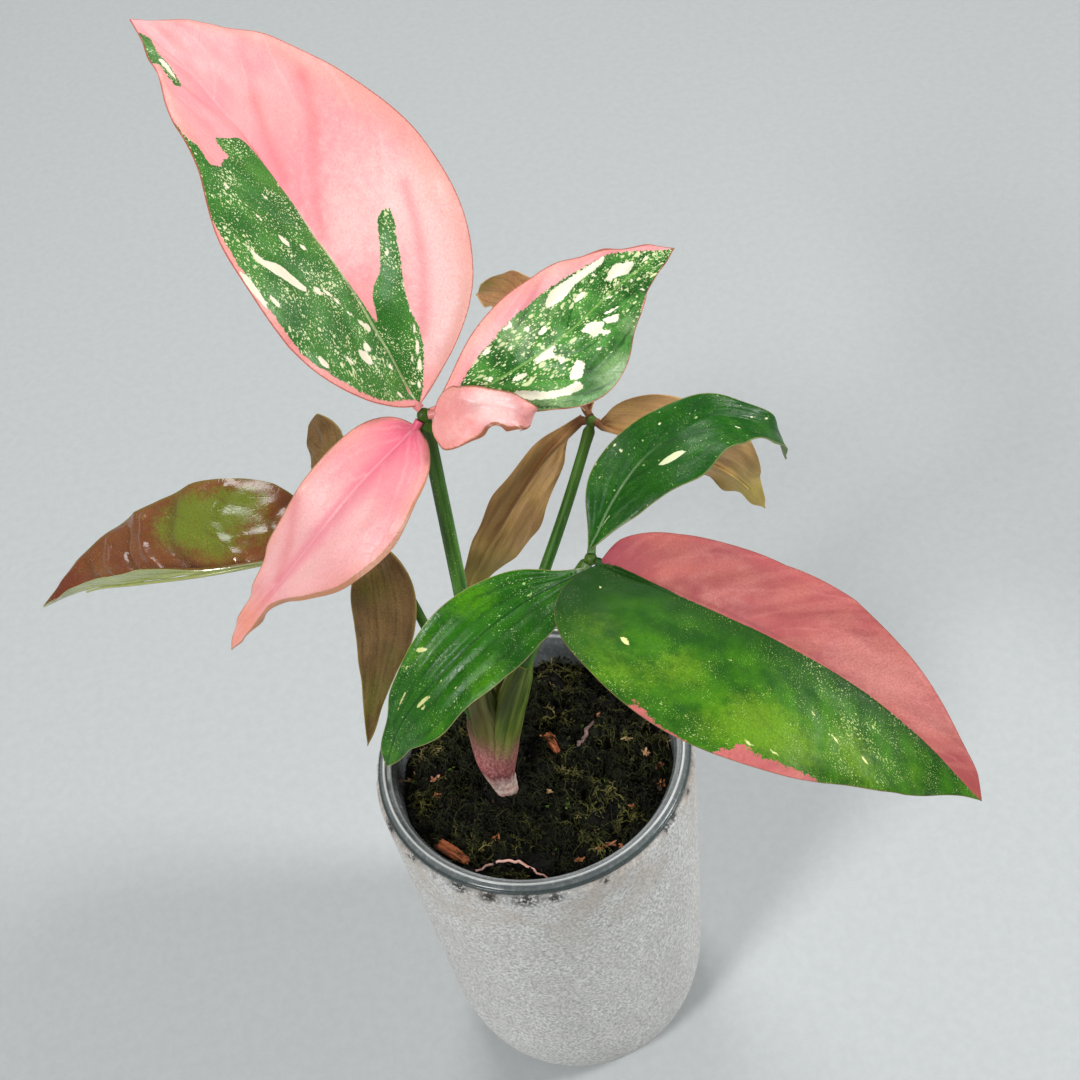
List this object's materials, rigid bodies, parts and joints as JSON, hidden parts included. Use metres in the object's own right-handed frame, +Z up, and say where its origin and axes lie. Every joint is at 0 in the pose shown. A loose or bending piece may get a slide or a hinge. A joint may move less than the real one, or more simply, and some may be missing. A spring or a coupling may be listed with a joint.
{
  "type": "potted syngonium",
  "caption": "Young syngonium with pink, cream and green lobed leaves on slim stalks, in a nursery pot that hangs inside a plain grey outer pot.",
  "frame": {"origin": "centre of the outer pot's foot, on the surface it stands on", "axes": "+Z up, +Y to the back, away from the front of the plant, +X to the right"},
  "size_m": [0.2365, 0.1848, 0.3363],
  "materials": {
    "pot_grey": "matte, fine dark speckle, small chips at the rim",
    "smoke_plastic": "thin smoky clear plastic",
    "dark_moss": "moist peat and moss, almost black",
    "sheath_green": "satin, white and pink at the foot, olive green above",
    "stalk_green": "satin green",
    "leaf_pink": "satin, pink with green and cream patches",
    "leaf_green": "satin to glossy, green with pale specks, one half rose pink",
    "leaf_tan": "matte tan and olive underside",
    "leaf_brown": "glossy brown, red and olive",
    "pale_root": "matte, pale pink",
    "bark": "matte, reddish brown"
  },
  "bodies": {
    "root": {"outer_pot": "pot_grey", "nursery_pot": "smoke_plastic", "substrate": "dark_moss", "crown": "sheath_green", "petiole_a": "stalk_green", "petiole_b": "stalk_green", "petiole_c": "stalk_green", "petiole_d": "stalk_green", "leaf_a_middle": "leaf_pink", "leaf_a_right": "leaf_pink", "leaf_a_ear": "leaf_pink", "leaf_a_left": "leaf_pink", "leaf_b_middle": "leaf_green", "leaf_b_left": "leaf_green", "leaf_b_upper": "leaf_green", "leaf_c_left": "leaf_tan", "leaf_c_right": "leaf_tan", "leaf_c_back": "leaf_tan", "leaf_d_left": "leaf_brown", "leaf_d_front": "leaf_brown", "leaf_d_back": "leaf_brown", "exposed_root": "pale_root", "twig": "bark", "bark_chip_front": "bark", "bark_chip_right": "bark"}
  },
  "joints": []
}
